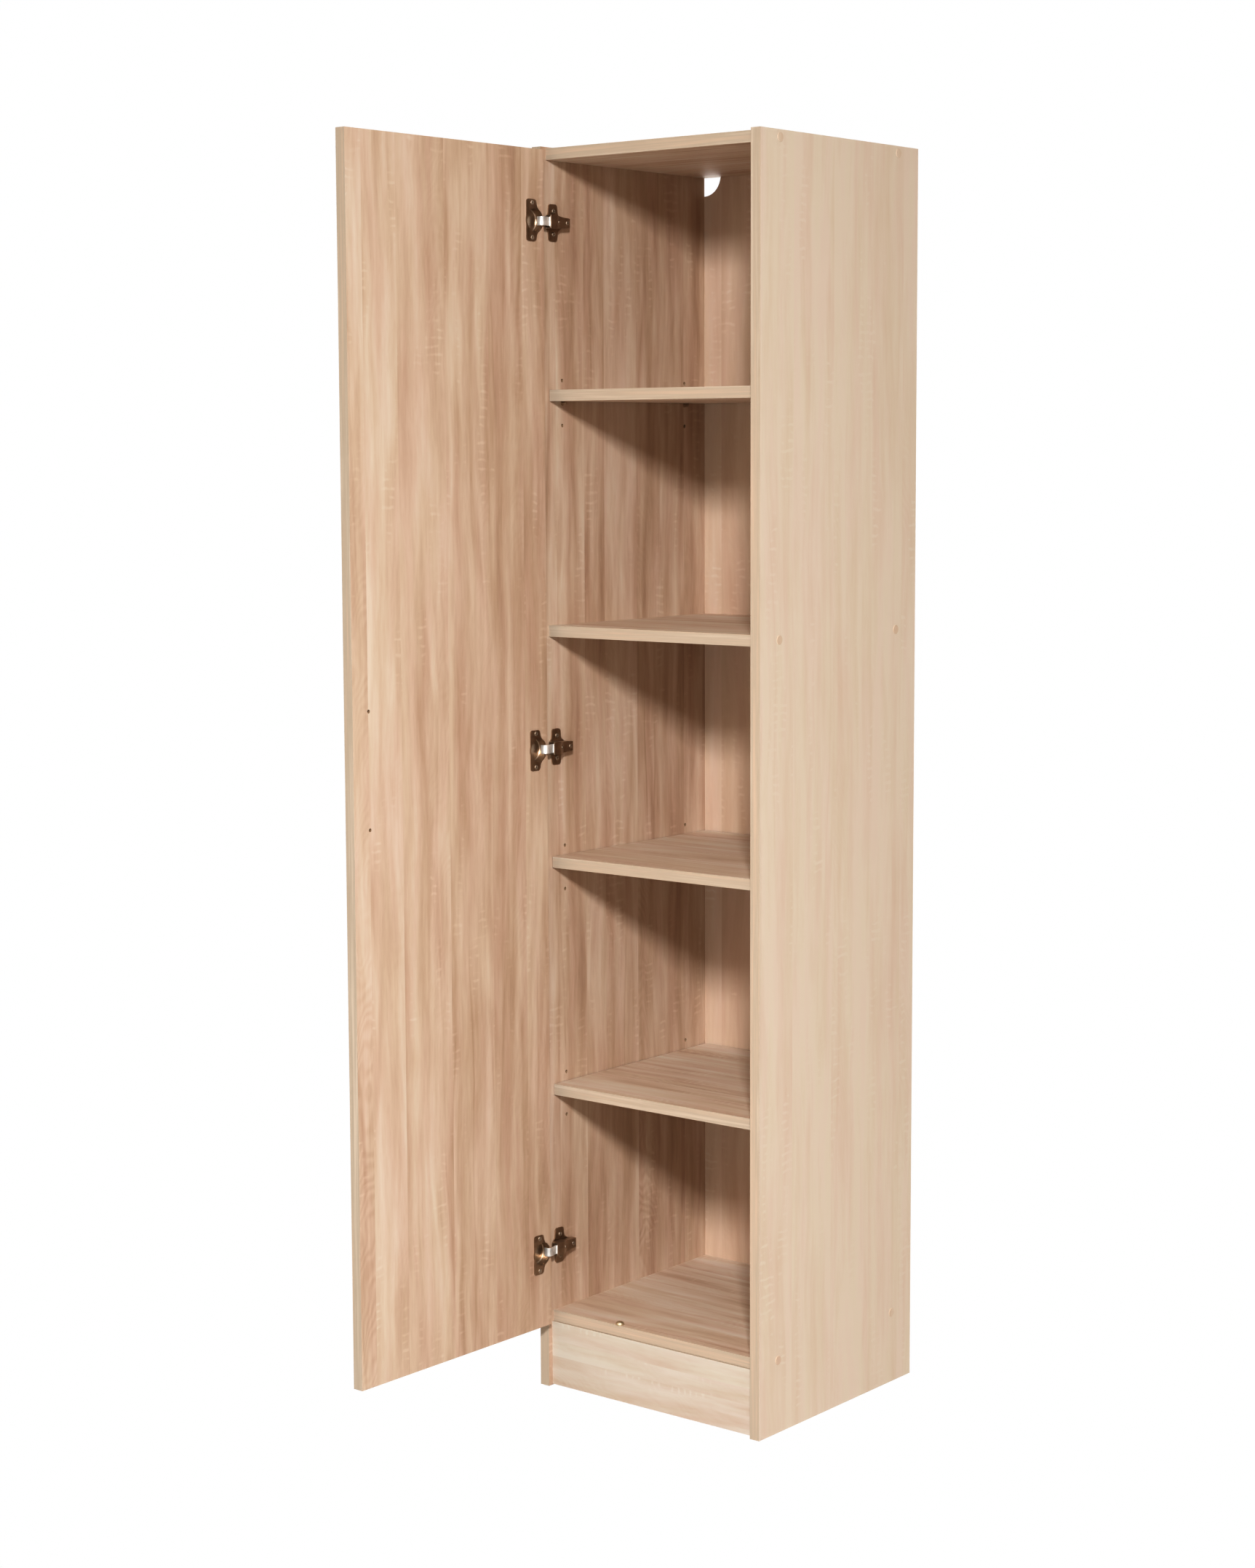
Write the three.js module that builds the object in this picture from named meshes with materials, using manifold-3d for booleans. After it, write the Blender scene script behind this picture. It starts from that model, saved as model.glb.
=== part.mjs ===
// Tall narrow pantry cabinet, melamine-faced board with a printed oak grain, shown with its door open.
// Millimetres. X is the width (the hinges are on the left, -X), Y runs to the back, Z is up.
// The origin is on the floor at the centre of the footprint that the open door and the carcass cover.

import * as THREE from 'three';
import { mergeVertices } from 'three/addons/utils/BufferGeometryUtils.js';
import Module from 'manifold-3d';

const wasm = await Module();
wasm.setup();

// ---------------------------------------------------------------- driving dimensions

const WIDTH = 400;
const DEPTH = 380;
const HEIGHT = 1800;
const BOARD = 16;
const FRONT_Y = 8;              // front edges of the sides, seen from the origin

const BASE_BOTTOM = 97;         // underside of the base panel
const LOWEST_SHELF = 436;       // underside of the lowest shelf
const SHELF_SPACING = 336;
const TOP_DROP = 2;             // the top panel lies this far below the ends of the sides
const FIXED_SETBACK = 11;       // front edges of the fixed boards behind the sides' front edges
const LOOSE_SETBACK = 15;       // the same for the shelves that lie on pins
const LOOSE_END_GAP = 1;
const LOOSE_BACK_GAP = 2;

const KICK_SETBACK = 8;
const KICK_TOP = 96.7;
const KICK_BOTTOM = 1.5;

const BACK_THICKNESS = 3;
const BACK_EDGE_INSET = 2;      // the back panel is this much narrower than the carcass on each side
const NOTCH_RADIUS = 30.3;      // rounding of the cut-outs in the back panel's top corners
const NOTCH_CENTRE = { x: 183.5, z: 1785 };

const DOOR_WIDTH = 390;
const DOOR_BOTTOM = 99;
const DOOR_TOP = 1794;
const DOOR_GAP = 3;             // between the closed door and the sides' front edges
const DOOR_OPEN_DEG = 91;
const AXIS_X = -186;            // door's turning axis
const AXIS_Y = -18;
const HANDLE_HOLE_SPACING = 160;
const HANDLE_HOLE_EDGE = 30;    // from the door's free edge
const HANDLE_HOLE_HEIGHT = 948;
const HANDLE_HOLE_RADIUS = 2.5;

const HINGE_HEIGHTS = { bottom: 209, middle: 948, top: 1695 };
const CUP_EDGE_DISTANCE = 20.5; // cup's centre from the door's hinge edge
const CUP_RADIUS = 17.3;
const CUP_WALL = 0.9;
const CUP_DEPTH = 12.6;
const CUP_BORE_RADIUS = 17.6;
const CUP_BORE_DEPTH = 13;
const FLANGE_THICKNESS = 1.2;
const FIT_GAP = 0.3;

const LINK_PIVOT = { s: 15, y: 2.6 };
const LINK_HALF_WIDTH = 6.25;
const LINK_HALF_THICKNESS = 0.75;
const LINK_EYE_RADIUS = 2.2;
const LINK_EYE_HOLE = 1.5;
const RIVET_RADIUS = 1.2;
const ARM_SHEET = 1.2;

const PIN_COLUMNS = { front: 44, back: 330 };
const PIN_PITCH = 32;
const PIN_RADIUS = 2.5;
const PIN_PLUG_RADIUS = 2.4;
const PIN_HOLE_RADIUS = 2.6;
const PIN_HOLE_DEPTH = 10;

const SCREW_COLUMNS = { front: 45, back: 330 };
const SCREW_LENGTH = 49;
const SCREW_HEAD_RADIUS = 4.8;
const SCREW_HEAD_LENGTH = 4.4;
const SCREW_SHANK_RADIUS = 3.2;
const SCREW_RECESS = 0.8;
const SCREW_HOLE_RADIUS = 3.6;
const SCREW_SINK_RADIUS = 5.2;
const CAP_RADIUS = 6.5;
const CAP_THICKNESS = 0.6;

const KICK_SCREW_X = -62;
const KICK_SCREW_HEAD = { radius: 6.2, height: 5 };

// ---------------------------------------------------------------- worked-out dimensions

const HALF = WIDTH / 2;
const INNER = HALF - BOARD;     // inner faces of the sides
const TOP_BOTTOM = HEIGHT - TOP_DROP - BOARD;
const LOOSE_SHELVES = {
  lower: LOWEST_SHELF,
  middle: LOWEST_SHELF + SHELF_SPACING,
  upper: LOWEST_SHELF + 3 * SHELF_SPACING,
};
const FIXED_BOARDS = {
  base_panel: BASE_BOTTOM,
  fixed_shelf: LOWEST_SHELF + 2 * SHELF_SPACING,
  top_panel: TOP_BOTTOM,
};
const SIDES = { left: -1, right: 1 };

// ---------------------------------------------------------------- materials

const material = (color, roughness, metalness = 0) =>
  new THREE.MeshStandardMaterial({ color, roughness, metalness });
const oakVertical = () => material(0xcbb08c, 0.55);
const oakHorizontal = () => material(0xc6a882, 0.55);
const hardboard = () => material(0xb08e66, 0.6);
const darkNickel = () => material(0x6a5a4c, 0.3, 1);
const brightNickel = () => material(0xd8d4cc, 0.2, 1);
const zincPlate = () => material(0xb8b6ae, 0.35, 1);
const capFoil = () => material(0xbfa27c, 0.6);

// ---------------------------------------------------------------- solids

function toSolid(geometry) {
  const bare = geometry.index ? geometry.toNonIndexed() : geometry.clone();
  bare.deleteAttribute('normal');
  bare.deleteAttribute('uv');
  const merged = mergeVertices(bare, 1e-4);
  return new wasm.Manifold(new wasm.Mesh({
    numProp: 3,
    vertProperties: Float32Array.from(merged.attributes.position.array),
    triVerts: Uint32Array.from(merged.index.array),
  }));
}

function toGeometry(solid) {
  const mesh = solid.getMesh();
  const geometry = new THREE.BufferGeometry();
  geometry.setAttribute('position', new THREE.BufferAttribute(mesh.vertProperties, mesh.numProp));
  geometry.setIndex(new THREE.BufferAttribute(mesh.triVerts, 1));
  geometry.computeVertexNormals();
  return geometry;
}

function block(x0, x1, y0, y1, z0, z1) {
  const box = new THREE.BoxGeometry(x1 - x0, y1 - y0, z1 - z0);
  return toSolid(box.translate((x0 + x1) / 2, (y0 + y1) / 2, (z0 + z1) / 2));
}

// Solid of revolution about an axis that leaves `from` along X, Y or Z; profile is [radius, distance] pairs.
function turned(profile, from, axis, segments = 24) {
  const points = profile.map(([radius, distance]) => new THREE.Vector2(radius, distance));
  const lathe = new THREE.LatheGeometry(points, segments);
  const turn = new THREE.Quaternion().setFromUnitVectors(new THREE.Vector3(0, 1, 0), axis);
  return toSolid(lathe.applyQuaternion(turn).translate(from.x, from.y, from.z));
}

function rod(radius, length, from, axis, segments = 24) {
  return turned([[0, 0], [radius, 0], [radius, length], [0, length]], from, axis, segments);
}

const at = (x, y, z) => new THREE.Vector3(x, y, z);
const ALONG_X = at(1, 0, 0);
const ALONG_Y = at(0, 1, 0);
const ALONG_Z = at(0, 0, 1);

// Outline in the plan (x, y), extruded upwards from z0 to z1.
function planSlab(shape, z0, z1) {
  const slab = new THREE.ExtrudeGeometry(shape, { depth: z1 - z0, bevelEnabled: false, curveSegments: 5 });
  return toSolid(slab.translate(0, 0, z0));
}

// Outline given as (y, z), extruded along X from x0 to x1.
function wallSlab(shape, x0, x1) {
  const slab = new THREE.ExtrudeGeometry(shape, { depth: x1 - x0, bevelEnabled: false, curveSegments: 4 });
  const axes = new THREE.Matrix4().makeBasis(ALONG_Y, ALONG_Z, ALONG_X);
  return toSolid(slab.applyMatrix4(axes).translate(x0, 0, 0));
}

// Closed outline through corner points, each corner rounded to its radius.
function roundedOutline(corners) {
  const shape = new THREE.Shape();
  const count = corners.length;
  corners.forEach(([x, y, radius = 0], i) => {
    const [px, py] = corners[(i + count - 1) % count];
    const [nx, ny] = corners[(i + 1) % count];
    const corner = new THREE.Vector2(x, y);
    const start = new THREE.Vector2(px - x, py - y).setLength(radius).add(corner);
    const end = new THREE.Vector2(nx - x, ny - y).setLength(radius).add(corner);
    if (i === 0) shape.moveTo(start.x, start.y);
    else shape.lineTo(start.x, start.y);
    if (radius > 0) shape.quadraticCurveTo(x, y, end.x, end.y);
  });
  return shape;
}

const cabinet = new THREE.Group();
cabinet.position.y = FRONT_Y;

function addPiece(parent, name, solid, finish) {
  const mesh = new THREE.Mesh(toGeometry(solid), finish);
  mesh.name = name;
  parent.add(mesh);
  return mesh;
}

// ---------------------------------------------------------------- sides

const pinHeight = (shelfBottom) => shelfBottom - PIN_RADIUS;
const screwHeight = (boardBottom) => boardBottom + BOARD / 2;

function sidePanel(sign) {
  const inner = sign * INNER;
  const outer = sign * HALF;
  let side = block(Math.min(inner, outer), Math.max(inner, outer), 0, DEPTH, 0, HEIGHT);
  const outwards = at(sign, 0, 0);
  const inwards = at(-sign, 0, 0);
  for (const shelfBottom of Object.values(LOOSE_SHELVES)) {
    for (const y of Object.values(PIN_COLUMNS)) {
      for (const step of [-1, 0, 1]) {
        const mouth = at(inner - sign, y, pinHeight(shelfBottom) + step * PIN_PITCH);
        side = side.subtract(rod(PIN_HOLE_RADIUS, PIN_HOLE_DEPTH + 1, mouth, outwards, 16));
      }
    }
  }
  for (const boardBottom of Object.values(FIXED_BOARDS)) {
    for (const y of Object.values(SCREW_COLUMNS)) {
      const mouth = at(outer + sign, y, screwHeight(boardBottom));
      side = side.subtract(rod(SCREW_HOLE_RADIUS, BOARD + 2, mouth, inwards, 20));
      const sinkDepth = SCREW_RECESS + SCREW_HEAD_LENGTH + FIT_GAP;
      side = side.subtract(rod(SCREW_SINK_RADIUS, sinkDepth + 1, mouth, inwards, 20));
    }
  }
  return side;
}

for (const [name, sign] of Object.entries(SIDES)) {
  addPiece(cabinet, `${name}_side`, sidePanel(sign), oakVertical());
}

// ---------------------------------------------------------------- boards between the sides

const kickScrewY = KICK_SETBACK + BOARD / 2;
const KICK_SCREW_SHANK = 2;
const KICK_SCREW_HOLE = 2.4;
const KICK_SCREW_LENGTH = 42;

for (const [name, bottom] of Object.entries(FIXED_BOARDS)) {
  let board = block(-INNER, INNER, FIXED_SETBACK, DEPTH, bottom, bottom + BOARD);
  for (const sign of Object.values(SIDES)) {
    for (const y of Object.values(SCREW_COLUMNS)) {
      const mouth = at(sign * (INNER + 1), y, screwHeight(bottom));
      const depth = SCREW_RECESS + SCREW_LENGTH - BOARD + 1;
      board = board.subtract(rod(SCREW_HOLE_RADIUS, depth + 1, mouth, at(-sign, 0, 0), 20));
    }
  }
  if (name === 'base_panel') {
    const mouth = at(KICK_SCREW_X, kickScrewY, bottom - 1);
    board = board.subtract(rod(KICK_SCREW_HOLE, BOARD + 2, mouth, ALONG_Z, 16));
  }
  addPiece(cabinet, name, board, oakHorizontal());
}

for (const [name, bottom] of Object.entries(LOOSE_SHELVES)) {
  const end = INNER - LOOSE_END_GAP;
  const shelf = block(-end, end, LOOSE_SETBACK, DEPTH - LOOSE_BACK_GAP, bottom, bottom + BOARD);
  addPiece(cabinet, `shelf_${name}`, shelf, oakHorizontal());
}

// ---------------------------------------------------------------- kickboard and its screw

const kickScrewEnd = BASE_BOTTOM + BOARD - KICK_SCREW_LENGTH;
const kickHole = rod(KICK_SCREW_HOLE, KICK_TOP - kickScrewEnd + 2, at(KICK_SCREW_X, kickScrewY, kickScrewEnd - 1),
  ALONG_Z, 16);
const kickboard = block(-INNER, INNER, KICK_SETBACK, KICK_SETBACK + BOARD, KICK_BOTTOM, KICK_TOP);
addPiece(cabinet, 'kickboard', kickboard.subtract(kickHole), oakHorizontal());

const kickScrewTop = KICK_SCREW_LENGTH + KICK_SCREW_HEAD.height;
const kickScrewProfile = [
  [0, 0], [KICK_SCREW_SHANK, 4], [KICK_SCREW_SHANK, KICK_SCREW_LENGTH],
  [KICK_SCREW_HEAD.radius, KICK_SCREW_LENGTH], [KICK_SCREW_HEAD.radius, KICK_SCREW_LENGTH + 1.5],
  [0.88 * KICK_SCREW_HEAD.radius, kickScrewTop - 1.8], [0.6 * KICK_SCREW_HEAD.radius, kickScrewTop - 0.6],
  [0, kickScrewTop],
];
const kickScrew = turned(kickScrewProfile, at(KICK_SCREW_X, kickScrewY, kickScrewEnd), ALONG_Z, 20);
addPiece(cabinet, 'kick_screw', kickScrew, zincPlate());

// ---------------------------------------------------------------- back panel

function backPanel() {
  const edge = HALF - BACK_EDGE_INSET;
  const top = HEIGHT - TOP_DROP;
  let panel = block(-edge, edge, DEPTH, DEPTH + BACK_THICKNESS, BASE_BOTTOM, top);
  for (const sign of Object.values(SIDES)) {
    const centre = at(sign * NOTCH_CENTRE.x, DEPTH - 1, NOTCH_CENTRE.z);
    panel = panel.subtract(rod(NOTCH_RADIUS, BACK_THICKNESS + 2, centre, ALONG_Y, 64));
    // Straight cuts run from the rounding to the panel's side and to its top.
    const outside = sign * (edge + 1);
    const corners = [
      [sign * NOTCH_CENTRE.x, NOTCH_CENTRE.z - NOTCH_RADIUS],
      [sign * (NOTCH_CENTRE.x - NOTCH_RADIUS), NOTCH_CENTRE.z],
    ];
    for (const [x, z] of corners) {
      const [left, right] = [Math.min(x, outside), Math.max(x, outside)];
      panel = panel.subtract(block(left, right, DEPTH - 1, DEPTH + BACK_THICKNESS + 1, z, top + 1));
    }
  }
  return panel;
}
addPiece(cabinet, 'back_panel', backPanel(), hardboard());

// ---------------------------------------------------------------- shelf pins

const PIN_COLLAR = 0.7;
const PIN_PEG_LENGTH = 8;
const PIN_PLUG_LENGTH = 9;
const pinProfile = [
  [0, -PIN_PLUG_LENGTH], [PIN_PLUG_RADIUS - 0.5, -PIN_PLUG_LENGTH], [PIN_PLUG_RADIUS, -PIN_PLUG_LENGTH + 1],
  [PIN_PLUG_RADIUS, 0], [3.6, 0], [3.6, PIN_COLLAR], [PIN_RADIUS, PIN_COLLAR],
  [PIN_RADIUS, PIN_PEG_LENGTH - 0.6], [PIN_RADIUS - 0.6, PIN_PEG_LENGTH], [0, PIN_PEG_LENGTH],
];

for (const [shelf, bottom] of Object.entries(LOOSE_SHELVES)) {
  for (const [side, sign] of Object.entries(SIDES)) {
    for (const [column, y] of Object.entries(PIN_COLUMNS)) {
      const pin = turned(pinProfile, at(sign * INNER, y, pinHeight(bottom)), at(-sign, 0, 0), 16);
      addPiece(cabinet, `pin_${shelf}_${side}_${column}`, pin, zincPlate());
    }
  }
}

// ---------------------------------------------------------------- carcass screws and their cover caps

const SCREW_TIP = 4;
const SOCKET_RADIUS = 2.3;
const SOCKET_DEPTH = 3;
const screwProfile = [
  [0, SOCKET_DEPTH], [SOCKET_RADIUS, SOCKET_DEPTH], [SOCKET_RADIUS, 0], [SCREW_HEAD_RADIUS, 0],
  [SCREW_HEAD_RADIUS, SCREW_HEAD_LENGTH], [SCREW_SHANK_RADIUS, SCREW_HEAD_LENGTH],
  [SCREW_SHANK_RADIUS, SCREW_LENGTH - SCREW_TIP], [1, SCREW_LENGTH], [0, SCREW_LENGTH],
];
const capProfile = [
  [0, 0], [CAP_RADIUS, 0], [CAP_RADIUS, CAP_THICKNESS / 2], [CAP_RADIUS - 0.4, CAP_THICKNESS], [0, CAP_THICKNESS],
];

for (const [board, bottom] of Object.entries(FIXED_BOARDS)) {
  for (const [side, sign] of Object.entries(SIDES)) {
    for (const [column, y] of Object.entries(SCREW_COLUMNS)) {
      const place = `${board.replace('_panel', '').replace('_shelf', '')}_${side}_${column}`;
      const head = at(sign * (HALF - SCREW_RECESS), y, screwHeight(bottom));
      const screw = turned(screwProfile, head, at(-sign, 0, 0), 16);
      addPiece(cabinet, `screw_${place}`, screw, zincPlate());
      const foot = at(sign * HALF, y, screwHeight(bottom));
      addPiece(cabinet, `cap_${place}`, turned(capProfile, foot, at(sign, 0, 0), 24), capFoil());
    }
  }
}

// ---------------------------------------------------------------- hinge pieces that stay on the left side

// s is the distance from the left side's inner face; the arm's outlines are [s, y] in plan.
const fromSide = (s) => s - INNER;

function mountingPlate(z) {
  const wing = roundedOutline([
    [15, z - 26, 4], [33, z - 26, 5], [34, z - 12, 3], [44, z - 6, 3], [49, z - 4.6, 2],
    [49, z + 4.6, 2], [44, z + 6, 3], [34, z + 12, 3], [33, z + 26, 5], [15, z + 26, 4],
    [14, z + 12, 3], [8, z + 6.5, 3], [8, z - 6.5, 3], [14, z - 12, 3],
  ]);
  const body = roundedOutline([
    [9, z - 6.2, 2], [26, z - 6.2, 3], [48, z - 4.4, 2], [48, z + 4.4, 2], [26, z + 6.2, 3], [9, z + 6.2, 2],
  ]);
  let plate = wallSlab(wing, fromSide(0), fromSide(2)).add(wallSlab(body, fromSide(1), fromSide(6)));
  plate = plate.add(block(fromSide(5), fromSide(10.4), 38, 47, z - 3.8, z + 3.8));
  for (const sign of [-1, 1]) {
    plate = plate.subtract(rod(2.1, 4, at(fromSide(-1), 25, z + sign * 16), ALONG_X, 20));
  }
  return plate.subtract(rod(1.6, 8, at(fromSide(4), 43, z), ALONG_X, 16));
}

// Upturned channel: the plan outline is the channel's side view, the wall outline is its tapered plan.
function channel(planCorners, halfWidthFront, halfWidthBack, z) {
  const sideView = planSlab(roundedOutline(planCorners.map(([s, y, r]) => [fromSide(s), y, r])), z - 30, z + 30);
  const taper = roundedOutline([
    [-3, z - halfWidthFront], [17, z - halfWidthFront, 3], [25, z - halfWidthFront + 1, 3],
    [52, z - halfWidthBack], [52, z + halfWidthBack], [25, z + halfWidthFront - 1, 3],
    [17, z + halfWidthFront, 3], [-3, z + halfWidthFront],
  ]);
  return sideView.intersect(wallSlab(taper, fromSide(-5), fromSide(40)));
}

function hingeArm(z) {
  const outer = [[4, 5, 2], [9, 0, 3], [18.7, 0, 0.5], [18.7, 15, 4], [14, 24, 5], [12.2, 50, 2], [3, 50, 1]];
  const inner = [[-2, -2], [17.5, -2], [17.5, 14.6, 4], [12.8, 23.6, 5], [11, 48.8, 1], [-2, 48.8]];
  let arm = channel(outer, 9.2, 6.4, z).subtract(channel(inner, 9.2 - ARM_SHEET, 6.4 - ARM_SHEET, z));
  arm = arm.add(rod(RIVET_RADIUS, 17, at(fromSide(LINK_PIVOT.s), LINK_PIVOT.y, z - 8.5), ALONG_Z, 16));
  for (const [y, radius] of [[43, 1.8], [21, 2.4]]) {
    arm = arm.subtract(rod(radius, 8, at(fromSide(10.8), y, z), ALONG_X, 20));
  }
  return arm;
}

// ---------------------------------------------------------------- hinge link, which turns on the arm's rivet

function hingeLink(z) {
  const start = new THREE.Vector2(fromSide(LINK_PIVOT.s), LINK_PIVOT.y);
  const curve = new THREE.CubicBezierCurve(start, new THREE.Vector2(-172.1, -1.3),
    new THREE.Vector2(-158.3, -21.4), new THREE.Vector2(-175.1, -18.1));
  const steps = 16;
  const near = [];
  const far = [];
  for (let i = 0; i <= steps; i += 1) {
    const point = curve.getPoint(i / steps);
    const along = curve.getTangent(i / steps);
    const across = new THREE.Vector2(-along.y, along.x).multiplyScalar(LINK_HALF_THICKNESS);
    near.push(point.clone().add(across));
    far.unshift(point.clone().sub(across));
  }
  const bottom = z - LINK_HALF_WIDTH;
  const strip = planSlab(new THREE.Shape([...near, ...far]), bottom, z + LINK_HALF_WIDTH);
  const eye = rod(LINK_EYE_RADIUS, 2 * LINK_HALF_WIDTH, at(start.x, start.y, bottom), ALONG_Z, 20);
  const hole = rod(LINK_EYE_HOLE, 2 * LINK_HALF_WIDTH + 2, at(start.x, start.y, bottom - 1), ALONG_Z, 20);
  return strip.add(eye).subtract(hole);
}

for (const [name, z] of Object.entries(HINGE_HEIGHTS)) {
  addPiece(cabinet, `hinge_${name}_plate`, mountingPlate(z), darkNickel());
  addPiece(cabinet, `hinge_${name}_arm`, hingeArm(z), darkNickel());
  addPiece(cabinet, `hinge_${name}_link`, hingeLink(z), brightNickel());
}

// ---------------------------------------------------------------- door, made closed and turned about its axis

const doorGroup = new THREE.Group();
doorGroup.position.set(AXIS_X, AXIS_Y, 0);
doorGroup.rotation.z = THREE.MathUtils.degToRad(-DOOR_OPEN_DEG);
cabinet.add(doorGroup);

const doorEdge = -DOOR_WIDTH / 2 - AXIS_X;        // hinge edge, inner face and outer face seen from the axis
const doorInside = -DOOR_GAP - AXIS_Y;
const doorOutside = doorInside - BOARD;
const cupX = doorEdge + CUP_EDGE_DISTANCE;

function doorPanel() {
  let door = block(doorEdge, doorEdge + DOOR_WIDTH, doorOutside, doorInside, DOOR_BOTTOM, DOOR_TOP);
  for (const z of Object.values(HINGE_HEIGHTS)) {
    const floor = at(cupX, doorInside - CUP_BORE_DEPTH, z);
    door = door.subtract(rod(CUP_BORE_RADIUS, CUP_BORE_DEPTH + 1, floor, ALONG_Y, 48));
  }
  const holeX = doorEdge + DOOR_WIDTH - HANDLE_HOLE_EDGE;
  for (const sign of [-1, 1]) {
    const mouth = at(holeX, doorOutside - 1, HANDLE_HOLE_HEIGHT + sign * HANDLE_HOLE_SPACING / 2);
    door = door.subtract(rod(HANDLE_HOLE_RADIUS, BOARD + 2, mouth, ALONG_Y, 20));
  }
  return door;
}
addPiece(doorGroup, 'door', doorPanel(), oakVertical());

// Cup with a flange that is straight on the far side and narrows towards the door's edge.
function hingeCup(z) {
  const mouth = doorInside + FIT_GAP;
  const inner = CUP_RADIUS - CUP_WALL;
  const cupProfile = [
    [0, -CUP_DEPTH], [CUP_RADIUS - 1.5, -CUP_DEPTH], [CUP_RADIUS, -CUP_DEPTH + 1.5], [CUP_RADIUS, FLANGE_THICKNESS],
    [inner, FLANGE_THICKNESS], [inner, -CUP_DEPTH + CUP_WALL + 1], [inner - 1, -CUP_DEPTH + CUP_WALL],
    [0, -CUP_DEPTH + CUP_WALL],
  ];
  const cup = turned(cupProfile, at(cupX, mouth, z), ALONG_Y, 40);
  const outline = roundedOutline([
    [17, 29, 4], [17, -29, 4], [-3, -29, 5], [-4, -19, 4], [-14, -9.5, 3], [-14.5, 0, 0], [-14, 9.5, 3],
    [-4, 19, 4], [-3, 29, 5],
  ]);
  const slab = new THREE.ExtrudeGeometry(outline, { depth: FLANGE_THICKNESS, bevelEnabled: false, curveSegments: 4 });
  const axes = new THREE.Matrix4().makeBasis(ALONG_X, ALONG_Z, at(0, -1, 0));
  let flange = toSolid(slab.applyMatrix4(axes).translate(cupX, mouth + FLANGE_THICKNESS, z));
  flange = flange.subtract(rod(inner, FLANGE_THICKNESS + 2, at(cupX, mouth - 1, z), ALONG_Y, 40));
  for (const sign of [-1, 1]) {
    flange = flange.subtract(rod(2.2, FLANGE_THICKNESS + 2, at(cupX + 5, mouth - 1, z + sign * 24), ALONG_Y, 20));
  }
  const linkMouth = block(cupX - 20, cupX - 13.5, mouth - 7.4, mouth + 3, z - 7.4, z + 7.4);
  return cup.add(flange).subtract(linkMouth);
}

for (const [name, z] of Object.entries(HINGE_HEIGHTS)) {
  addPiece(doorGroup, `hinge_${name}_cup`, hingeCup(z), darkNickel());
}

export default cabinet;
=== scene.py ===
"""Looks for the pantry cabinet: printed oak board, nickel hinges, small screws, a white studio."""
import math

import bmesh
import bpy
from mathutils import Matrix, Vector


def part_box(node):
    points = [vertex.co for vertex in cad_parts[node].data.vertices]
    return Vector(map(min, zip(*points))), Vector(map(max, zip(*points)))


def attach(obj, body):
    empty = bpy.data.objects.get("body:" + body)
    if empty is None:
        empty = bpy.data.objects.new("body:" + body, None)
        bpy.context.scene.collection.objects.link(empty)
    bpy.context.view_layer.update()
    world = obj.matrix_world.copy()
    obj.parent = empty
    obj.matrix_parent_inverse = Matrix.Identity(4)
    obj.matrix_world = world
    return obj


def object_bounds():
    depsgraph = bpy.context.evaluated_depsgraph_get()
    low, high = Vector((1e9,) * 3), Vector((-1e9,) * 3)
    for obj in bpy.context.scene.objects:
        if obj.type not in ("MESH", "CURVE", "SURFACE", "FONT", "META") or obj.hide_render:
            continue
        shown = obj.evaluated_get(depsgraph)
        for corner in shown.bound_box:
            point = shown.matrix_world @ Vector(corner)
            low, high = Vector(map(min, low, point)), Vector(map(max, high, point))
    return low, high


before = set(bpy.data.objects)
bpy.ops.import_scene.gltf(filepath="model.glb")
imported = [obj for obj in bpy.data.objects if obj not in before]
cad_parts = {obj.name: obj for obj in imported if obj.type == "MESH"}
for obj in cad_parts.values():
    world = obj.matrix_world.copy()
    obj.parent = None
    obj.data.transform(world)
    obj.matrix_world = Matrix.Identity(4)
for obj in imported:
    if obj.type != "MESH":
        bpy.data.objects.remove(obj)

CAD_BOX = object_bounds()
MM = 0.001

# ---------------------------------------------------------------- camera

PHOTO_WIDTH = 1725
SENSOR_MM = 36.0
FOCAL_PIXELS = 3931.3
CAMERA_AT = Vector((2.4844, -3.1061, 1.3757))
CAMERA_YAW = math.radians(38.927)      # turned to the left of straight ahead
CAMERA_PITCH = math.radians(-6.285)
CAMERA_ROLL = math.radians(0.226)
CAMERA_SHIFT_Y = -0.016


def make_camera():
    """A long lens at chest height, in front of the cabinet and to its right."""
    data = bpy.data.cameras.new("camera")
    data.sensor_fit = "HORIZONTAL"
    data.sensor_width = SENSOR_MM
    data.lens = FOCAL_PIXELS / PHOTO_WIDTH * SENSOR_MM
    data.shift_y = CAMERA_SHIFT_Y
    data.clip_end = 100.0
    camera = bpy.data.objects.new("camera", data)
    bpy.context.scene.collection.objects.link(camera)
    turn = (Matrix.Rotation(CAMERA_YAW, 4, "Z") @ Matrix.Rotation(CAMERA_PITCH, 4, "X")
            @ Matrix.Rotation(CAMERA_ROLL, 4, "Y"))
    upright = Matrix.Rotation(math.radians(90), 4, "X")
    camera.matrix_world = Matrix.Translation(CAMERA_AT) @ turn @ upright
    bpy.context.scene.camera = camera


make_camera()


# ---------------------------------------------------------------- node helpers

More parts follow.
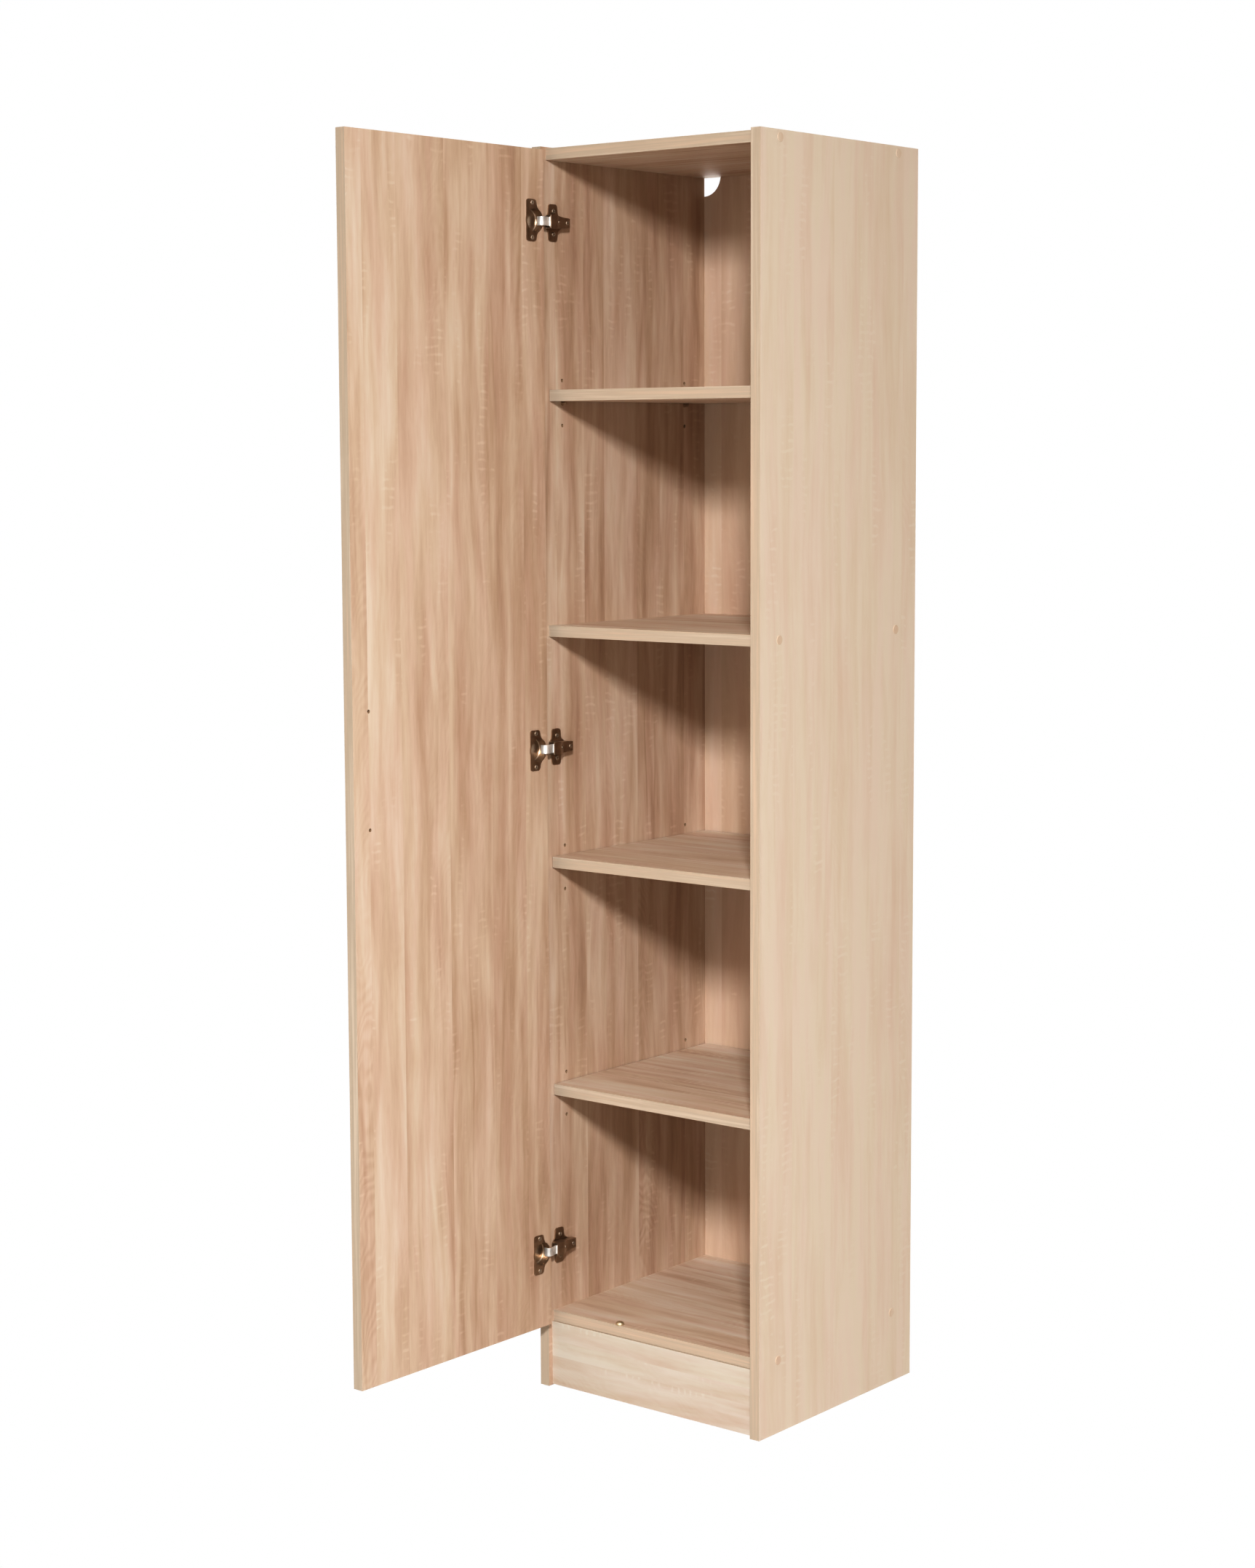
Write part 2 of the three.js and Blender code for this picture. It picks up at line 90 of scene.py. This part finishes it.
class Graph:
    """A few short calls for building one node tree."""

    def __init__(self, tree):
        self.tree = tree

    def node(self, kind, inputs=None, **settings):
        made = self.tree.nodes.new(kind)
        for key, value in settings.items():
            setattr(made, key, value)
        for key, value in (inputs or {}).items():
            self.feed(made.inputs[key], value)
        return made

    def feed(self, socket, value):
        if isinstance(value, bpy.types.NodeSocket):
            self.tree.links.new(value, socket)
        else:
            socket.default_value = value

    def math(self, operation, a, b=0.0):
        return self.node("ShaderNodeMath", {0: a, 1: b}, operation=operation).outputs[0]

    def dot(self, a, b):
        made = self.node("ShaderNodeVectorMath", {0: a, 1: tuple(b)}, operation="DOT_PRODUCT")
        return made.outputs["Value"]

    def combine(self, x=0.0, y=0.0, z=0.0):
        return self.node("ShaderNodeCombineXYZ", {0: x, 1: y, 2: z}).outputs[0]

    def noise(self, vector, scale=1.0, detail=2.0, roughness=0.5):
        made = self.node("ShaderNodeTexNoise", {"Vector": vector, "Scale": scale, "Detail": detail,
                                                "Roughness": roughness})
        return made.outputs["Fac"]

    def ramp(self, value, stops, interpolation="LINEAR"):
        """Colours at rising positions; a stop is (position, (red, green, blue))."""
        made = self.node("ShaderNodeValToRGB", {"Fac": value})
        band = made.color_ramp
        band.interpolation = interpolation
        while len(band.elements) < len(stops):
            band.elements.new(0.5)
        for element, (position, colour) in zip(band.elements, stops):
            element.position = position
            element.color = (*colour, 1.0)
        return made.outputs["Color"]

    def spread(self, value, low, high, to_low=0.0, to_high=1.0):
        """Moves a value from the range low to high onto another range, and stops it at both ends."""
        made = self.node("ShaderNodeMapRange", {"Value": value, "From Min": low, "From Max": high,
                                                "To Min": to_low, "To Max": to_high})
        return made.outputs["Result"]

    def mix(self, factor, a, b, blend="MIX"):
        made = self.node("ShaderNodeMix", data_type="RGBA", blend_type=blend)
        self.feed(made.inputs[0], factor)
        self.feed(made.inputs[6], a)
        self.feed(made.inputs[7], b)
        return made.outputs[2]


def new_material(name):
    material = bpy.data.materials.new(name)
    material.use_nodes = True
    graph = Graph(material.node_tree)
    shader = material.node_tree.nodes["Principled BSDF"]
    return material, graph, shader


def dress(node, material):
    """Gives a CAD node the material in every slot."""
    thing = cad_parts[node]
    if not thing.data.materials:
        thing.data.materials.append(material)
    for slot in thing.material_slots:
        slot.material = material


def span(node, direction):
    """Lowest and highest place of a CAD node's mesh along a direction."""
    along = [vertex.co.dot(direction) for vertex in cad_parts[node].data.vertices]
    return min(along), max(along)


# ---------------------------------------------------------------- printed oak

# Linear colours of the print.
OAK_LIGHT = (0.760, 0.690, 0.615)
OAK_MIDDLE = (0.680, 0.556, 0.456)
OAK_BROWN = (0.570, 0.425, 0.325)
OAK_DARK = (0.450, 0.310, 0.225)
TINT_PINK = (1.0, 0.980, 0.990)
TINT_SAND = (0.992, 1.0, 0.985)
TINT_NONE = (1.0, 1.0, 1.0)
BAND_COLOUR = (0.532, 0.464, 0.386)
CORE_LIGHT = (0.560, 0.400, 0.260)
CORE_DARK = (0.280, 0.180, 0.105)
FOIL_THICKNESS = 0.35 * MM
FACING = 0.7                          # a face belongs to the side that it leans to by more than this


def make_print_group():
    """Oak print on a flat sheet, with places in metres across and along the grain.

    Local is the distance from the start of the stave, and Figure is how strong its growth rings are.
    """
    group = bpy.data.node_groups.new("oak_print", "ShaderNodeTree")
    face = group.interface
    for name in ("Across", "Along", "Local", "Seed", "Tone", "Figure", "Contrast", "Lift"):
        face.new_socket(name, in_out="INPUT", socket_type="NodeSocketFloat")
    face.new_socket("Color", in_out="OUTPUT", socket_type="NodeSocketColor")
    face.new_socket("Height", in_out="OUTPUT", socket_type="NodeSocketFloat")
    g = Graph(group)
    inputs = g.node("NodeGroupInput").outputs
    along, seed, local = inputs["Along"], inputs["Seed"], inputs["Local"]
    straight = inputs["Across"]

    def field(across, per_metre_across, per_metre_along, layer, detail=2.0, roughness=0.5):
        """Noise with so many cells in a metre across the grain and along it; each layer differs."""
        u = g.math("MULTIPLY", across, per_metre_across)
        v = g.math("MULTIPLY", along, per_metre_along)
        w = g.math("ADD", seed, layer)
        return g.noise(g.combine(u, v, w), 1.0, detail, roughness)

    def centred(value, weight):
        """A value that lies round 0.5, moved to lie round 0 and weighted."""
        return g.math("MULTIPLY", g.math("SUBTRACT", value, 0.5), weight)

    # The grain wanders slowly from side to side, with small waves on top.
    across = g.math("ADD", straight, centred(field(straight, 4.0, 1.5, 0.3, 1.0), 0.034))
    across = g.math("ADD", across, centred(field(straight, 16.0, 6.0, 0.7, 1.0), 0.012))
    bands = field(across, 38.0, 2.2, 1.1, 1.0)
    streaks = field(across, 100.0, 8.0, 2.3, 2.0)
    fibres = field(across, 320.0, 34.0, 3.7, 2.0, 0.6)
    cloud = field(straight, 9.0, 4.5, 9.3, 2.0)
    hue = field(across, 44.0, 4.0, 5.9, 2.0)

    # Veins: long thin dark lines where a slow field crosses its middle.
    vein_field = field(across, 22.0, 1.1, 10.4, 1.0)
    vein = g.math("ABSOLUTE", g.math("SUBTRACT", vein_field, 0.5))
    vein = g.spread(vein, 0.004, 0.040, 1.0, 0.0)
    vein = g.math("MULTIPLY", vein, g.spread(field(straight, 8.0, 3.0, 11.2, 1.0), 0.42, 0.62))

    # Growth rings: half arches that leave the stave's edge at a slant and straighten away from it.
    steep = g.math("MULTIPLY", g.math("POWER", local, 2.0), 1500.0)
    slant = g.math("ADD", g.math("MULTIPLY", local, 40.0), steep)
    phase = g.math("ADD", g.math("MULTIPLY", along, 36.0), slant)
    phase = g.math("ADD", phase, centred(field(straight, 16.0, 8.0, 4.4, 2.0), 11.0))
    swing = g.math("SINE", g.math("MULTIPLY", phase, 2 * math.pi))
    wave = g.math("MULTIPLY", g.math("ADD", swing, 1.0), 0.5)
    fade = g.spread(local, 0.006, 0.062, 1.0, 0.08)
    patchy = g.spread(field(straight, 6.0, 2.4, 4.9, 1.0), 0.36, 0.56)
    ring = g.math("MULTIPLY", g.math("MULTIPLY", wave, fade), g.math("MULTIPLY", patchy, inputs["Figure"]))

    # Pores: short dark dashes along the grain.
    pores = g.spread(field(across, 620.0, 34.0, 6.6, 1.0), 0.58, 0.72)

    # Cross flecks: ladders of short light strokes across the grain.
    rungs = g.math("ADD", along, centred(field(straight, 34.0, 26.0, 7.1), 0.016))
    rungs = g.spread(g.math("SINE", g.math("MULTIPLY", rungs, 2 * math.pi * 84.0)), 0.20, 0.95)
    rungs = g.math("MULTIPLY", rungs, g.spread(field(straight, 52.0, 60.0, 7.7, 1.0), 0.42, 0.58))
    patches = g.spread(field(straight, 34.0, 6.5, 8.2, 1.0), 0.58, 0.66)
    flecks = g.math("MULTIPLY", rungs, patches)

    value = inputs["Tone"]
    for part, weight in ((bands, 1.05), (streaks, 0.70), (fibres, 0.24), (cloud, 0.55)):
        value = g.math("ADD", value, centred(part, weight))
    for part, weight in ((ring, 0.20), (pores, 0.07), (vein, 0.20), (patches, 0.05)):
        value = g.math("SUBTRACT", value, g.math("MULTIPLY", part, weight))
    value = g.math("MULTIPLY", value, inputs["Contrast"])
    value = g.math("ADD", value, g.math("ADD", inputs["Lift"], 0.5))
    value = g.math("ADD", value, g.math("MULTIPLY", flecks, 0.12))

    colour = g.ramp(value, [(0.05, OAK_DARK), (0.28, OAK_BROWN), (0.52, OAK_MIDDLE), (0.80, OAK_LIGHT)])
    tint = g.ramp(hue, [(0.36, TINT_SAND), (0.50, TINT_NONE), (0.64, TINT_PINK)])
    colour = g.mix(1.0, colour, tint, "MULTIPLY")
    height = g.math("SUBTRACT", g.math("MULTIPLY", fibres, 0.5), pores)
    g.node("NodeGroupOutput", {"Color": colour, "Height": height})
    return group


OAK_PRINT = make_print_group()


def thin_direction(node):
    """Thickness direction of a board: the normal of its largest face."""
    largest = max(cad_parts[node].data.polygons, key=lambda face: face.area)
    return largest.normal.copy().normalized()


def stave_print(g, across, along, width_span, side, staves, seed, contrast, lift):
    """The print on a board that is glued up from staves, each with its own tone and growth rings."""
    low, high = width_span
    share = g.spread(across, low, high)
    stops = [(at, (0.5 + tone, figure, at)) for at, tone, figure in staves]
    stave = g.node("ShaderNodeSeparateColor", {"Color": g.ramp(share, stops, "CONSTANT")}).outputs
    stave_seed = g.math("MULTIPLY", g.math("ADD", stave["Red"], stave["Blue"]), 41.0)
    values = {
        "Across": across,
        "Along": along,
        "Tone": g.math("SUBTRACT", stave["Red"], 0.5),
        "Figure": stave["Green"],
        "Local": g.math("MULTIPLY", g.math("SUBTRACT", share, stave["Blue"]), high - low),
        "Contrast": contrast,
        "Lift": lift,
        "Seed": g.math("ADD", g.math("ADD", stave_seed, side), seed),
    }
    return g.node("ShaderNodeGroup", values, node_tree=OAK_PRINT).outputs


def edge_band(g, through, along, across, on_end, seed):
    """Edge banding: a plainer strip with a fine grain of its own, which runs along the edge."""
    off_end = g.math("SUBTRACT", 1.0, on_end)
    run = g.math("ADD", g.math("MULTIPLY", off_end, along), g.math("MULTIPLY", on_end, across))
    fine_at = g.combine(g.math("MULTIPLY", through, 260.0), g.math("MULTIPLY", run, 5.0), seed)
    slow_at = g.combine(g.math("MULTIPLY", through, 60.0), g.math("MULTIPLY", run, 1.3), seed + 2.0)
    fine = g.math("MULTIPLY", g.noise(fine_at, 1.0, 3.0, 0.6), 0.55)
    slow = g.math("MULTIPLY", g.noise(slow_at, 1.0, 2.0), 0.45)
    return g.ramp(g.math("ADD", fine, slow), [(0.25, OAK_MIDDLE), (0.50, BAND_COLOUR), (0.80, OAK_LIGHT)])


def cut_mask(g, places, spans):
    """1 where a bore or a countersink has opened the board deeper than its foil, and 0 on the foil."""
    mask = 1.0
    for place, (low, high) in zip(places, spans):
        off_middle = g.math("ABSOLUTE", g.math("SUBTRACT", place, (low + high) / 2))
        within = g.math("LESS_THAN", off_middle, (high - low) / 2 - FOIL_THICKNESS)
        mask = g.math("MULTIPLY", mask, within)
    return mask


def raw_core(g, point):
    """The pressed chips inside a board."""
    chips = g.noise(point, 900.0, 3.0, 0.7)
    return g.ramp(chips, [(0.35, CORE_DARK), (0.62, CORE_LIGHT)])


def board_material(node, grain, width_axis, staves, seed, contrast, lift, shade=(1.0, 1.0, 1.0)):
    """Material of one board.

    grain and width_axis are directions in the cabinet's frame. staves lists, for each stave, where it
    starts as a share of the width, its tone, and how strong its growth rings are. contrast is the strength
    of the whole print, lift brightens it, and shade is a colour that the faces are multiplied by; where it
    is not white it is painted shade, which darkens a board that the lamps light too brightly.
    """
    material, g, shader = new_material("oak_" + node)
    coords = g.node("ShaderNodeTexCoord").outputs
    point, normal = coords["Object"], coords["Normal"]
    thick = thin_direction(node)
    directions = (thick, grain, width_axis)
    spans = [span(node, direction) for direction in directions]
    places = [g.dot(point, direction) for direction in directions]
    through, along, across = places

    facing = g.dot(normal, thick)
    on_face = g.math("GREATER_THAN", g.math("ABSOLUTE", facing), FACING)
    on_end = g.math("GREATER_THAN", g.math("ABSOLUTE", g.dot(normal, grain)), FACING)
    side = g.math("MULTIPLY", g.math("GREATER_THAN", facing, 0.0), 3.1)     # the two faces differ

    face_print = stave_print(g, across, along, spans[2], side, staves, seed, contrast, lift)
    # The faces are multiplied by shade, which is painted shade on a board where it is not white.
    printed = g.mix(1.0, face_print["Color"], (*shade, 1.0), "MULTIPLY")
    band = edge_band(g, through, along, across, on_end, seed)
    skin = g.mix(on_face, band, printed)
    colour = g.mix(cut_mask(g, places, spans), skin, raw_core(g, point))
    g.feed(shader.inputs["Base Color"], colour)

    grease = g.noise(point, 9.0, 3.0, 0.6)
    g.feed(shader.inputs["Roughness"], g.spread(grease, 0.3, 0.7, 0.50, 0.62))
    shader.inputs["Specular IOR Level"].default_value = 0.35
    bump = g.node("ShaderNodeBump", {"Strength": 0.25, "Distance": 0.00012, "Height": face_print["Height"]})
    g.feed(shader.inputs["Normal"], bump.outputs["Normal"])
    dress(node, material)


def door_directions():
    """Normal of the door's inner face, and the level direction from its hinges to its free edge."""
    face = thin_direction("door")
    if face.x < 0:
        face = -face
    run = face.cross(Z).normalized()
    if run.y > 0:
        run = -run
    return face, run


X, Y, Z = Vector((1, 0, 0)), Vector((0, 1, 0)), Vector((0, 0, 1))
DOOR_FACE, DOOR_RUN = door_directions()

# Each stave: where it starts as a share of the board's width, its tone, the strength of its rings.
LEFT_STAVES = [(0.0, 0.08, 0.1), (0.078, -0.01, 0.3), (0.24, -0.03, 0.2), (0.36, 0.03, 0.3),
               (0.562, -0.09, 1.0), (0.86, -0.04, 0.2)]
RIGHT_STAVES = [(0.0, 0.02, 0.3), (0.20, 0.05, 0.2), (0.45, 0.03, 0.4), (0.70, 0.0, 0.2),
                (0.905, 0.04, 0.6)]
DOOR_STAVES = [(0.0, -0.09, 0.2), (0.12, -0.12, 0.3), (0.30, 0.02, 0.2), (0.52, 0.06, 0.3),
               (0.76, 0.25, 0.2), (0.925, 0.20, 1.0)]
SHELF_STAVES = [(0.0, 0.0, 0.4), (0.28, -0.05, 0.6), (0.55, 0.0, 0.3), (0.80, -0.04, 0.6)]
KICK_STAVES = [(0.0, 0.0, 0.5), (0.45, 0.04, 0.3), (0.7, 0.0, 0.6)]
BACK_STAVES = [(0.0, 0.30, 0.3), (0.114, -0.05, 0.3), (0.30, -0.15, 0.5), (0.62, 0.10, 0.3),
               (0.80, -0.05, 0.2)]
# Painted shade: darkens the kickboard and takes some orange out of it, where the floor's bounce light
# lights it too brightly.
KICK_PAINTED_SHADE = (0.86, 0.90, 0.93)
SHELVES = ("top_panel", "shelf_upper", "fixed_shelf", "shelf_middle", "shelf_lower", "base_panel")

# Lift is partly painted light: the right side, whose lit outer face is seen, is made paler, and the left
# side, whose shaded inner face is seen, darker, on top of the print's own tone.
board_material("left_side", Z, Y, LEFT_STAVES, seed=1.0, contrast=0.64, lift=-0.12)
board_material("right_side", Z, Y, RIGHT_STAVES, seed=6.0, contrast=0.26, lift=0.27)
board_material("door", Z, DOOR_RUN, DOOR_STAVES, seed=11.0, contrast=0.58, lift=-0.07)
for index, node in enumerate(SHELVES):
    board_material(node, X, Y, SHELF_STAVES, seed=20.0 + 2.7 * index, contrast=0.70, lift=0.09)
# The kickboard carries painted shade, and its higher lift makes it paler, in place of less warm bounce
# light from the floor.
board_material("kickboard", X, Z, KICK_STAVES, seed=43.0, contrast=0.50, lift=0.20, shade=KICK_PAINTED_SHADE)
board_material("back_panel", Z, X, BACK_STAVES, seed=50.0, contrast=0.30, lift=-0.05)


# ---------------------------------------------------------------- metal

def metal_material(name, colour, roughness):
    """Plated metal with cloudy patches; the darker ones are a little smoother."""
    material, g, shader = new_material(name)
    point = g.node("ShaderNodeTexCoord").outputs["Object"]
    cloud = g.noise(point, 60.0, 4.0, 0.6)
    dark = tuple(channel * 0.72 for channel in colour)
    g.feed(shader.inputs["Base Color"], g.ramp(cloud, [(0.32, dark), (0.60, colour)]))
    g.feed(shader.inputs["Roughness"], g.spread(cloud, 0.3, 0.7, roughness, roughness + 0.10))
    shader.inputs["Metallic"].default_value = 1.0
    fine = g.noise(point, 2500.0, 2.0)
    bump = g.node("ShaderNodeBump", {"Strength": 0.12, "Distance": 0.00003, "Height": fine})
    g.feed(shader.inputs["Normal"], bump.outputs["Normal"])
    return material


# The hinge nickel is darkened and browned: painted reflection of the shaded oak inside the cabinet, on top
# of the metal's real mirror.
HINGE_METAL_PAINTED_REFLECTION = metal_material("hinge_nickel", (0.520, 0.410, 0.315), 0.33)
LINK_METAL = metal_material("link_nickel", (0.930, 0.920, 0.900), 0.62)
# The pin nickel is browned: painted reflection of the oak around it, on top of the metal's real mirror.
PIN_METAL_PAINTED_REFLECTION = metal_material("pin_nickel", (0.55, 0.44, 0.34), 0.34)
ZINC_METAL = metal_material("zinc_steel", (0.62, 0.60, 0.56), 0.28)
BRASS_METAL = metal_material("yellow_zinc", (0.78, 0.66, 0.47), 0.50)
# The screw nickel is darkened and browned: painted reflection of the shaded oak inside the cabinet, on top
# of the metal's real mirror.
SCREW_METAL_PAINTED_REFLECTION = metal_material("screw_nickel_painted_reflection", (0.50, 0.42, 0.34), 0.34)

HINGES = ("bottom", "middle", "top")
for hinge in HINGES:
    for piece in ("plate", "arm", "cup"):
        dress(f"hinge_{hinge}_{piece}", HINGE_METAL_PAINTED_REFLECTION)
    dress(f"hinge_{hinge}_link", LINK_METAL)
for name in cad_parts:
    if name.startswith("pin_"):
        dress(name, PIN_METAL_PAINTED_REFLECTION)
    if name.startswith("screw_"):
        dress(name, ZINC_METAL)
dress("kick_screw", BRASS_METAL)


def cap_material():
    """Cover caps: the same print on a thin round foil, a little darker, with the grain upright."""
    material, g, shader = new_material("cap_foil")
    point = g.node("ShaderNodeTexCoord").outputs["Object"]
    values = {
        "Across": g.dot(point, Y),
        "Along": g.dot(point, Z),
        "Tone": -0.10,
        "Figure": 0.4,
        "Contrast": 0.3,
        "Lift": 0.14,
        "Seed": 70.0,
    }
    foil = g.node("ShaderNodeGroup", values, node_tree=OAK_PRINT).outputs
    g.feed(shader.inputs["Base Color"], foil["Color"])
    shader.inputs["Roughness"].default_value = 0.5
    return material


CAP = cap_material()
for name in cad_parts:
    if name.startswith("cap_"):
        dress(name, CAP)


# ---------------------------------------------------------------- small screws of the hinges

HEAD_SEGMENTS = 32
HEAD_RINGS = (0.0, 0.2, 0.34, 0.48, 0.58, 0.66, 0.82, 0.94, 1.0)        # shares of the head's radius
RECESS_MIDDLE = 0.25                  # the recess is round up to this share of the radius
RECESS_REACH = 0.62                   # and its four arms end before this one
RIM_HEIGHT = 0.35                     # share of the head's height at its rim


def head_height(share, off_arm, height):
    """Height of a screw head's surface; off_arm counts the segments to the nearest arm of the recess."""
    top = height * (1 - 0.55 * share ** 2.4) if share < 1 else height * RIM_HEIGHT
    if share < RECESS_MIDDLE or (share < RECESS_REACH and off_arm <= 1):
        top -= height * 0.55 * (1 - share * 0.6)
    return top


def screw_head(name, at, axis, radius, height, body):
    """A domed head with a cross recess; at is the centre of its underside, axis points out of the part."""
    quarter, eighth = HEAD_SEGMENTS // 4, HEAD_SEGMENTS // 8
    mesh = bmesh.new()
    rings = []
    for share in HEAD_RINGS:
        ring = []
        for step in range(HEAD_SEGMENTS if share else 1):
            turn = 2 * math.pi * step / HEAD_SEGMENTS
            off_arm = abs((step + eighth) % quarter - eighth)
            top = head_height(share, off_arm, height)
            place = Vector((radius * share * math.cos(turn), radius * share * math.sin(turn), top))
            ring.append(mesh.verts.new(place))
        rings.append(ring)
    foot = [mesh.verts.new((v.co.x, v.co.y, 0.0)) for v in rings[-1]]
    rings.append(foot)
    for step in range(HEAD_SEGMENTS):
        after = (step + 1) % HEAD_SEGMENTS
        mesh.faces.new((rings[0][0], rings[1][step], rings[1][after]))
        for inner, outer in zip(rings[1:], rings[2:]):
            mesh.faces.new((inner[step], outer[step], outer[after], inner[after]))
    mesh.faces.new(list(reversed(foot)))
    data = bpy.data.meshes.new(name)
    mesh.normal_update()
    mesh.to_mesh(data)
    mesh.free()
    for face in data.polygons:
        face.use_smooth = True
    turn = Z.rotation_difference(axis)
    data.transform(Matrix.Translation(at) @ turn.to_matrix().to_4x4())
    data.materials.append(SCREW_METAL_PAINTED_REFLECTION)
    screw = bpy.data.objects.new(name, data)
    bpy.context.scene.collection.objects.link(screw)
    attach(screw, body)


CUP_SCREW = {"radius": 3.6 * MM, "height": 1.5 * MM, "body": "door"}
CUP_SCREW_UP = 24 * MM                # above and below the middle of the cup
CUP_SCREW_OFF = 5 * MM                # from the middle of the cup towards the door's free edge
CUP_SCREW_SUNK = 0.1 * MM
PLATE_SCREW = {"radius": 3.9 * MM, "height": 1.9 * MM, "body": "carcass"}
PLATE_SCREW_UP = 16 * MM
PLATE_SCREW_BACK = 25 * MM            # behind the side's front edge
PLATE_THICKNESS = 2.1 * MM
ARM_SCREW_HEIGHT = 1.7 * MM
# Each arm screw: how far behind the side's front edge, how far in from its inner face, head radius, axis.
ARM_SCREWS = {"adjust": (21 * MM, 15.3 * MM, 2.9 * MM, Vector((0.886, 0.463, 0))),
              "fix": (43 * MM, 12.4 * MM, 3.4 * MM, X)}
SIDE_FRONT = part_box("left_side")[0][1]
SIDE_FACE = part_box("left_side")[1][0]
for hinge in HINGES:
    cup = f"hinge_{hinge}_cup"
    face = span(cup, DOOR_FACE)[1]
    run = sum(span(cup, DOOR_RUN)) / 2 + CUP_SCREW_OFF
    height = sum(span(cup, Z)) / 2
    for tag, sign in (("upper", 1), ("lower", -1)):
        at = DOOR_FACE * (face - CUP_SCREW_SUNK) + DOOR_RUN * run + Z * (height + sign * CUP_SCREW_UP)
        screw_head(f"cup_screw_{hinge}_{tag}", at, DOOR_FACE, **CUP_SCREW)
        up = height + sign * PLATE_SCREW_UP
        at = Vector((SIDE_FACE + PLATE_THICKNESS, SIDE_FRONT + PLATE_SCREW_BACK, up))
        screw_head(f"plate_screw_{hinge}_{tag}", at, X, **PLATE_SCREW)
    for tag, (back, off, radius, axis) in ARM_SCREWS.items():
        at = Vector((SIDE_FACE + off, SIDE_FRONT + back, height))
        screw_head(f"{tag}_screw_{hinge}", at, axis, radius, ARM_SCREW_HEIGHT, "carcass")


# ---------------------------------------------------------------- studio

FLOOR_HALF_WIDTH = 12.0
FLOOR_DROP = 0.5 * MM                 # keeps the floor clear of the cabinet's feet


def make_world():
    """White to the eye and in reflections, with a weaker, warmer fill for everything else."""
    world = bpy.data.worlds.new("studio")
    world.use_nodes = True
    bpy.context.scene.world = world
    g = Graph(world.node_tree)
    world.node_tree.nodes.clear()
    seen = g.node("ShaderNodeBackground", {"Color": (1, 1, 1, 1), "Strength": 1.0})
    fill = g.node("ShaderNodeBackground", {"Color": (1.0, 0.78, 0.54, 1), "Strength": 0.46})
    path = g.node("ShaderNodeLightPath")
    sharp = g.math("MAXIMUM", path.outputs["Is Camera Ray"], path.outputs["Is Glossy Ray"])
    both = g.node("ShaderNodeMixShader", {0: sharp, 1: fill.outputs[0], 2: seen.outputs[0]})
    g.node("ShaderNodeOutputWorld", {"Surface": both.outputs[0]})


def make_floor():
    """A pale floor that sends light back up to the cabinet, and looks plain white to the camera."""
    mesh = bmesh.new()
    bmesh.ops.create_grid(mesh, x_segments=1, y_segments=1, size=FLOOR_HALF_WIDTH)
    data = bpy.data.meshes.new("floor")
    mesh.to_mesh(data)
    mesh.free()
    floor = bpy.data.objects.new("floor", data)
    floor.location.z = CAD_BOX[0][2] - FLOOR_DROP
    bpy.context.scene.collection.objects.link(floor)
    material, g, shader = new_material("floor")
    shader.inputs["Base Color"].default_value = (0.62, 0.62, 0.62, 1)
    shader.inputs["Roughness"].default_value = 0.9
    shader.inputs["Specular IOR Level"].default_value = 0.0
    glow = g.node("ShaderNodeEmission", {"Color": (1, 1, 1, 1), "Strength": 1.0})
    path = g.node("ShaderNodeLightPath")
    both = g.node("ShaderNodeMixShader", {0: path.outputs["Is Camera Ray"], 1: shader.outputs[0],
                                          2: glow.outputs[0]})
    output = material.node_tree.nodes["Material Output"]
    g.feed(output.inputs["Surface"], both.outputs[0])
    data.materials.append(material)


def area_light(name, at, target, size, power, spread=180):
    """A soft box at one point of the studio, aimed at another."""
    data = bpy.data.lights.new(name, "AREA")
    data.shape = "RECTANGLE"
    data.size, data.size_y = size
    data.energy = power
    data.spread = math.radians(spread)
    light = bpy.data.objects.new(name, data)
    bpy.context.scene.collection.objects.link(light)
    light.location = at
    light.rotation_euler = (Vector(target) - Vector(at)).to_track_quat("-Z", "Y").to_euler()


make_world()
make_floor()
# The key light is aimed low, so that the bottom of the cabinet is as bright as the top.
area_light("key", (2.75, -3.36, 2.79), (0.0, 0.1, -0.6), (0.38, 0.55), 82, 110)
area_light("right_fill", (3.5, 0.2, 1.0), (0.0, 0.1, 0.9), (1.6, 2.0), 4)
area_light("low_fill", (0.8, -3.2, 0.5), (0.0, 0.1, 0.4), (3.0, 0.9), 14)
area_light("rear_fill", (-2.2, 2.6, 0.7), (0.0, 0.2, 0.9), (2.0, 2.0), 60)

view = bpy.context.scene.view_settings
view.view_transform = "Standard"
view.look = "None"
view.gamma = 0.70                     # the contrast of a printed catalogue picture
